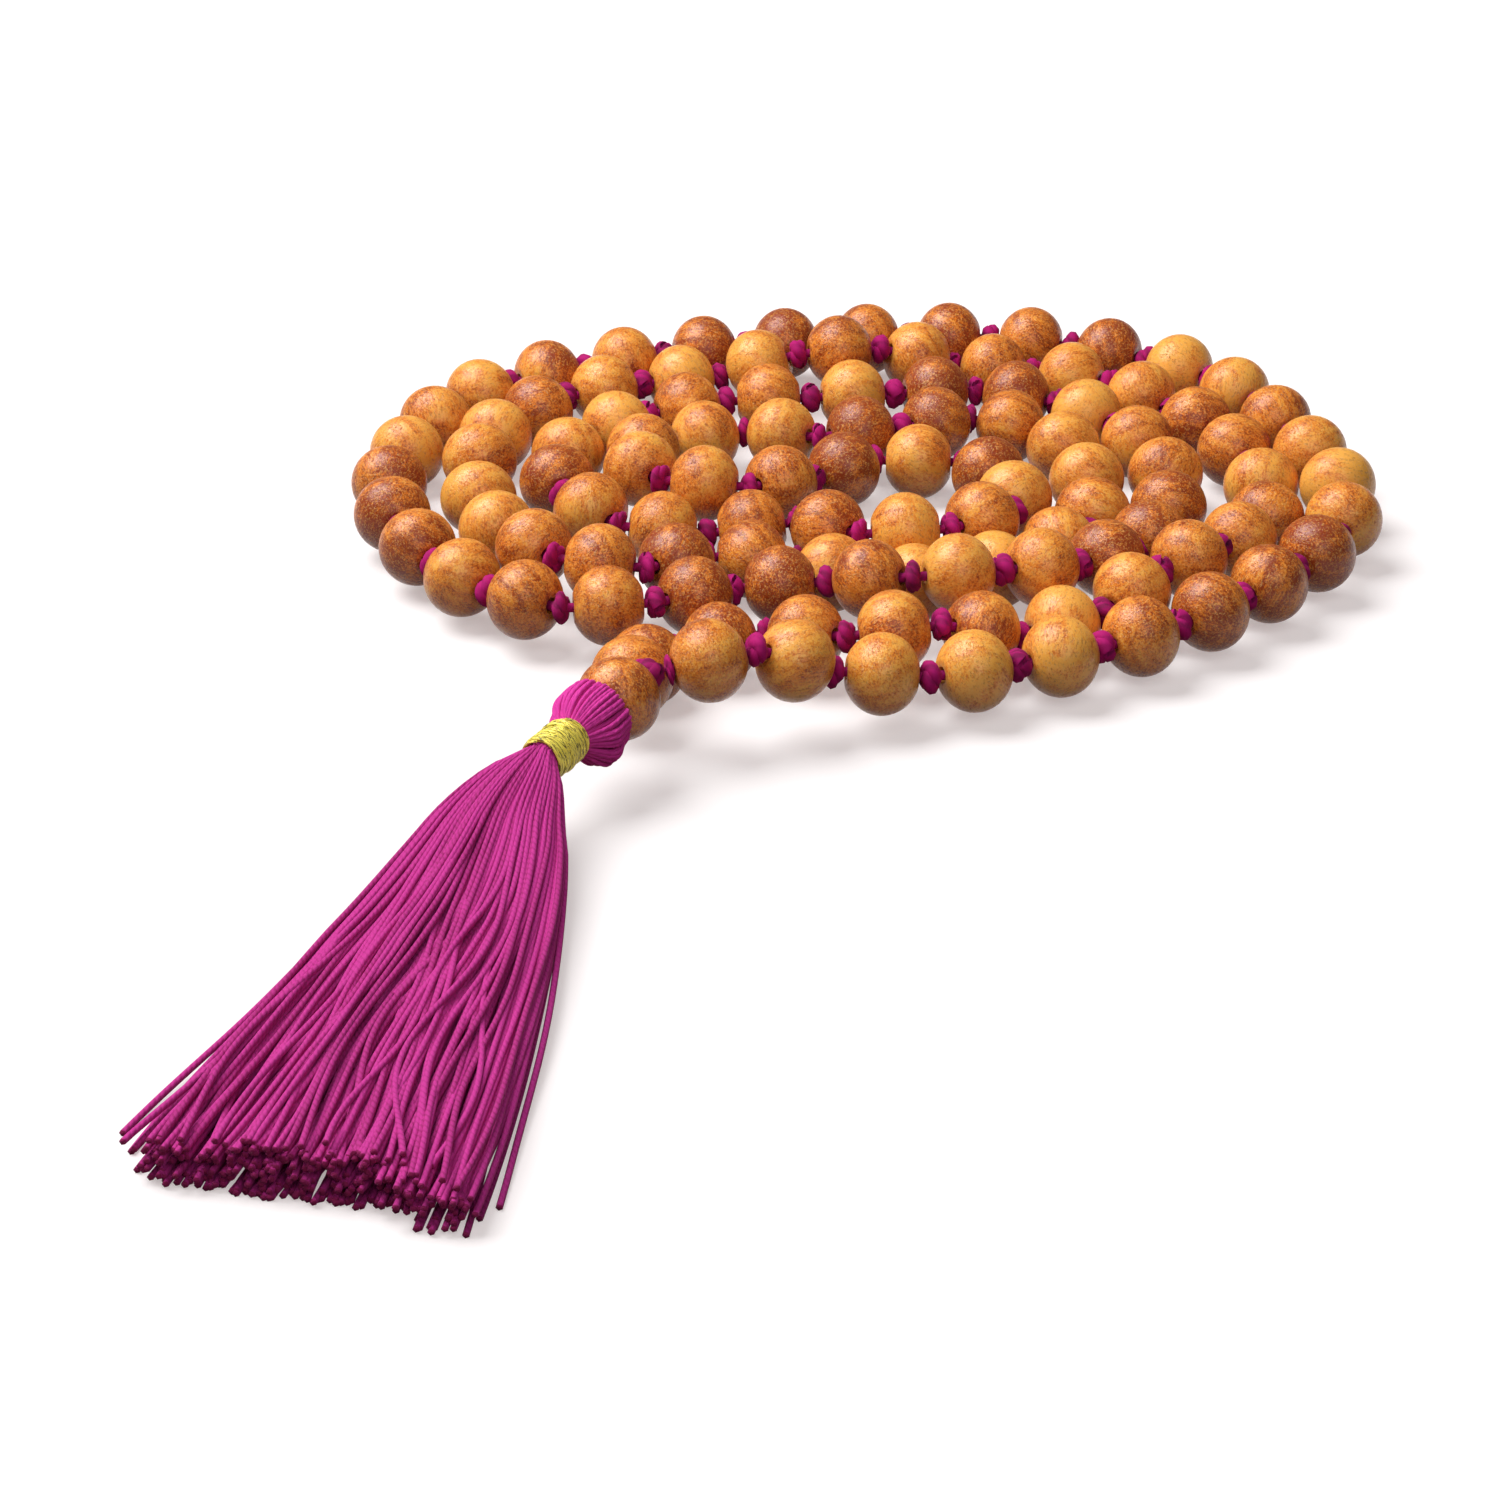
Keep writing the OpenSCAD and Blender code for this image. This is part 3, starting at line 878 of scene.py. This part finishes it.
class MALA_OT_gold_binding(bpy.types.Operator):
    """Wind the metallic thread round the tassel's neck"""

    bl_idname = "mala.gold_binding"
    bl_label = "Gold Binding"

    def execute(self, context):
        tassel, bead = context.scene.mala_tassel, context.scene.mala_beads
        _, binding = head_line(tassel, bead)
        luck = random.Random(12)
        runs = []
        r, wide = tassel.neck_d / 2 + 0.12 * MM, tassel.thread_d / 2
        full = tassel.binding_turns
        layers = ((full, 0.0, 1), (full // 2, 0.14 * MM, -1), (5, 0.22 * MM, 1))
        for layer, (turns, lift, way) in enumerate(layers):
            stray = (0.06 + 0.07 * layer) * MM
            waves = [(luck.uniform(0.4, 2.2), luck.uniform(*PHASES)) for _ in range(3)]
            path = []
            for t in np.linspace(0, 1, 26 * turns + 1).tolist():
                angle = way * TURN * turns * t + layer * 1.7
                wander = sum(math.sin(speed * angle + phase) for speed, phase in waves) * stray
                x = binding + wide + (tassel.binding_l - 2 * wide) * t + wander
                rise = lift * (0.7 + 0.3 * math.sin(angle * 1.3 + layer))
                out = r + rise + 0.10 * MM * math.sin(math.pi * t)
                path.append(pendant(x, out * math.cos(angle), out * math.sin(angle)))
            runs.append((*tube(path, wide, sides=6, flat=0.6), luck.random(), UNCUT))
        piece = lay_yarn("wound_gold_binding", runs)
        finish = finish_named("foil_thread", metallic_thread, tassel)
        wear(piece, finish, "gold_binding")
        return {"FINISHED"}


# Strands that lie apart from the skirt: place across, layer, reach in skirt lengths,
# and how far each leaves to the side
STRAYS = (
    (-0.99, 0.10, 0.90, -0.22),
    (-0.97, 0.30, 0.94, -0.13),
    (-0.95, 0.20, 0.96, -0.08),
    (-0.90, 0.40, 0.98, -0.12),
    (0.97, 0.10, 0.97, 0.10),
    (0.95, -0.10, 1.00, 0.05),
)


def sway(waves, t):
    """Sum of waves at t, in millimetres. Each is (size, speed, phase) and starts from nothing."""
    return sum(a * (math.sin(f * t + p) - math.sin(p)) for a, f, p in waves)


class YarnLock:
    """A lock of the skirt, whose strands sway, shift and lift together."""

    WAVES = ((2.0, 4.6), (0.9, 9.5))  # Usual size, in millimetres, and speed of each wave

    def __init__(self, luck):
        self.across, self.layer = luck.uniform(-1, 1), luck.uniform(-1, 1)
        self.waves = [(luck.gauss(0, a), f, luck.uniform(*PHASES)) for a, f in self.WAVES]
        self.shift = luck.gauss(0, 0.07 + 0.10 * max(0.0, self.layer))
        self.lift = luck.uniform(-0.3, 0.5)

    def distance(self, across, layer):
        return (self.across - across) ** 2 + 0.5 * (self.layer - layer) ** 2


class SkirtStrand:
    """A strand of the skirt that leaves the neck at (across, layer), each from -1 to 1.

    Along the strand, t goes from 0 at the neck to 1 at the cut end. A stray is given its reach in
    skirt lengths, and how far it leaves to the side.
    """

    SIDES = 5
    STEPS = 42
    EDGE = 0.56  # Strands farther across than this hang longer and curl inwards
    EDGE_EXTRA = 2.2 * MM
    LOOSE_SHARE = 0.16  # Share of the upper strands that lie loosely
    LOOSENESS = 2.6
    BEND = 0.15  # The strand has swung into the skirt's heading at this t
    LANDED = 0.42  # The strand lies on the floor from this t on
    CUT_L = 0.15 * MM  # Length of the cut end

    def __init__(self, tassel, across, layer, locks, luck, stray=None):
        self.tassel, self.across, self.layer = tassel, across, layer
        self.r, self.neck = tassel.strand_d / 2, tassel.neck_d / 2
        self.lock = min(locks, key=lambda lock: lock.distance(across, layer))
        self.edge = 1.0 if across > self.EDGE else 0.0
        self.reach = tassel.skirt_l * (1 + luck.gauss(0, 0.006)) + self.edge * self.EDGE_EXTRA
        loose = layer > 0 and luck.random() < self.LOOSE_SHARE
        self.loose = self.LOOSENESS if loose else 1.0
        self.waves = [
            (abs(luck.gauss(0, 0.34)) * self.loose, luck.uniform(5, 14), luck.uniform(*PHASES))
            for _ in range(3)
        ]
        self.drift = luck.gauss(0, 0.04 if luck.random() < 0.85 else 0.16)
        self.stray = stray is not None
        if self.stray:
            self.reach, self.drift = tassel.skirt_l * stray[0], stray[1]
        self.roll, self.shade = luck.random(), luck.random()

    def sideways(self, t):
        """How far the strand lies to the side of the skirt's line."""
        across, lock = self.across, self.lock
        half = self.neck + (self.tassel.skirt_w / 2 - self.neck) * math.sqrt(t)
        swing = sway(lock.waves, t) * (0.65 + 0.35 * self.layer) + sway(self.waves, t)
        spread = across + self.drift * t**1.5 - 0.45 * self.edge * (across - 0.6) * t * t
        if not self.stray:
            gather = 0.13 * t * t * (lock.across - across) * (1 - self.edge)
            shift = lock.shift * t * t * (3 - 2 * t) * (1 - abs(across))
            parting = 0.04 * max(0.0, 1 - abs(across - 0.45) / 0.2) * t**3
            spread = max(-1.04, min(1.04, spread + gather + (shift - parting)))
        return spread * (half - self.r) + swing * t * (1 - 0.75 * abs(across)) * MM

    def height(self, t, drop):
        """How high the strand lies, where the neck is a drop above the floor."""
        r, layer = self.r, self.layer
        land = min(1.0, t / self.LANDED)
        low = drop * (1 - land) ** 2
        high = 2 * self.neck + (self.tassel.skirt_h - 2 * self.neck) * land
        squash = max(layer * (1 + 0.6 * land), -1.0) if layer < 0 else layer
        ripple = 0.25 * MM * math.sin(9 * t + self.waves[0][2])
        height = low + high / 2 + squash * (high / 2 - r) + ripple * t
        height += (self.lock.lift * (1 - t) * 3 + (self.loose - 1) * 0.3) * MM * t
        if self.stray:
            height += (low + r - height) * t
        return max(height, r)

    def run(self, binding):
        """The strand as a run of yarn, from inside the binding to its cut end."""
        tassel, inset = self.tassel, self.neck - self.r / 2
        start = pendant(binding + tassel.binding_l + 0.55 * MM)
        heading = math.atan2(TASSEL_DIR.y, TASSEL_DIR.x) % TURN
        at = Vector((start.x, start.y))
        path = [
            pendant(binding + x * MM, self.across * inset, self.layer * inset)
            for x in (2.5, 3.8, 4.9)
        ]
        for n in range(1, self.STEPS + 1):
            t = n / self.STEPS
            bent = min(1.0, (t - 0.5 / self.STEPS) / self.BEND)
            now = heading + (tassel.skirt_heading - heading) * bent
            at += Vector((math.cos(now), math.sin(now))) * self.reach / self.STEPS
            spot = at + Vector((-math.sin(now), math.cos(now))) * self.sideways(t)
            path.append(Vector((spot.x, spot.y, self.height(t, start.z - self.neck))))
        path.append(path[-1] + (path[-1] - path[-2]).normalized() * self.CUT_L)
        place = np.arange(len(path))
        widths = self.r * (0.55 + 0.45 * np.clip(place / 12, 0, 1))
        # The cut end's points take the cut colour, painted darker as shade inside the cut fibres
        cut = np.repeat(place == place[-1], self.SIDES).astype(float)
        return (*tube(path, widths, self.SIDES, roll=self.roll), self.shade, cut)


class MALA_OT_tassel_skirt(bpy.types.Operator):
    """Lay out the fan of yarn strands below the binding"""

    bl_idname = "mala.tassel_skirt"
    bl_label = "Tassel Skirt"

    LOCKS = 32
    GOLDEN_ANGLE = math.radians(137.508)

    def execute(self, context):
        tassel, bead = context.scene.mala_tassel, context.scene.mala_beads
        _, binding = head_line(tassel, bead)
        luck = random.Random(77)
        locks = [YarnLock(luck) for _ in range(self.LOCKS)]
        strands = []
        for k in range(tassel.strands):
            ring, turn = math.sqrt((k + 0.5) / tassel.strands), k * self.GOLDEN_ANGLE
            across, layer = ring * math.cos(turn), ring * math.sin(turn)
            strands.append(SkirtStrand(tassel, across, layer, locks, luck))
        for across, layer, *stray in STRAYS:
            strands.append(SkirtStrand(tassel, across, layer, locks, luck, stray))
        piece = lay_yarn("tassel_yarn_skirt", [strand.run(binding) for strand in strands])
        finish = finish_named("spun_yarn", spun_cotton, tassel, *SKIRT_SPIN, tassel.cut)
        wear(piece, finish, "tassel_skirt")
        return {"FINISHED"}


class MALA_OT_stage(bpy.types.Operator):
    """Set the floor, the soft light and the camera"""

    bl_idname = "mala.stage"
    bl_label = "Stage"

    FLOOR_SIZE = 6
    KEY_SIZE, KEY_PLACE = 0.7, (-0.38, 0.16, 0.66)
    FILL_SIZE, FILL_PLACE = 0.6, (0.10, -0.62, 0.52)
    LAMP_AIM = (0, 0.02, 0)
    CAMERA_PLACE = (-8.110 * MM, -382.609 * MM, 184.806 * MM)

    def execute(self, context):
        look, scene = context.scene.mala_stage, context.scene
        clear_selection()
        bpy.ops.mesh.primitive_plane_add(size=self.FLOOR_SIZE, location=(0, 0, 0))
        floor = context.object
        floor.name = "floor"
        floor.data.materials.append(finish_named("floor_paint", floor_paint, look))
        self.lamp("key_softbox", look.key_power, self.KEY_SIZE, self.KEY_PLACE)
        self.lamp("fill_softbox", look.fill_power, self.FILL_SIZE, self.FILL_PLACE)
        world = scene.world or bpy.data.worlds.new("world")
        scene.world = world
        world.use_nodes = True
        sky = world.node_tree.nodes["Background"].inputs
        sky["Color"].default_value = (1, 1, 1, 1)
        sky["Strength"].default_value = look.sky
        tilt = math.pi / 2 - look.down
        bpy.ops.object.camera_add(location=self.CAMERA_PLACE, rotation=(tilt, 0, 0))
        camera = context.object
        camera.name = "photo_camera"
        camera.data.sensor_width = 36
        camera.data.lens = look.lens
        camera.data.clip_start = 0.01
        scene.camera = camera
        scene.view_settings.view_transform = "Standard"
        return {"FINISHED"}

    def lamp(self, name, power, size, place):
        bpy.ops.object.light_add(type="AREA", location=place)
        lamp = bpy.context.object
        lamp.name = name
        lamp.data.energy, lamp.data.shape, lamp.data.size = power, "DISK", size
        aim = Vector(self.LAMP_AIM) - Vector(place)
        lamp.rotation_euler = aim.to_track_quat("-Z", "Y").to_euler()


OPERATORS = (
    MALA_OT_string_beads,
    MALA_OT_guru_bead,
    MALA_OT_knotted_cord,
    MALA_OT_gather_knot,
    MALA_OT_tassel_tie,
    MALA_OT_tassel_head,
    MALA_OT_gold_binding,
    MALA_OT_tassel_skirt,
    MALA_OT_stage,
)


class MALA_PT_workbench(bpy.types.Panel):
    """Lists the pieces of the mala"""

    bl_idname = "MALA_PT_workbench"
    bl_label = "Mala"
    bl_space_type = "VIEW_3D"
    bl_region_type = "UI"
    bl_category = "Mala"

    def draw(self, context):
        for operator in OPERATORS:
            self.layout.operator(operator.bl_idname)


SETTINGS = {
    "mala_beads": BeadSettings,
    "mala_cord": CordSettings,
    "mala_tassel": TasselSettings,
    "mala_stage": StageSettings,
}


def register():
    for group in SETTINGS.values():
        bpy.utils.register_class(group)
    for name, group in SETTINGS.items():
        setattr(bpy.types.Scene, name, bpy.props.PointerProperty(type=group))
    for operator in OPERATORS:
        bpy.utils.register_class(operator)
    bpy.utils.register_class(MALA_PT_workbench)


def unregister():
    bpy.utils.unregister_class(MALA_PT_workbench)
    for operator in reversed(OPERATORS):
        bpy.utils.unregister_class(operator)
    for name, group in SETTINGS.items():
        delattr(bpy.types.Scene, name)
        bpy.utils.unregister_class(group)


def main():
    register()
    bpy.ops.mala.string_beads()
    bpy.ops.mala.guru_bead()
    bpy.ops.mala.knotted_cord()
    bpy.ops.mala.gather_knot()
    bpy.ops.mala.tassel_tie()
    bpy.ops.mala.tassel_head()
    bpy.ops.mala.gold_binding()
    bpy.ops.mala.tassel_skirt()
    bpy.ops.mala.stage()


if __name__ == "__main__":
    main()
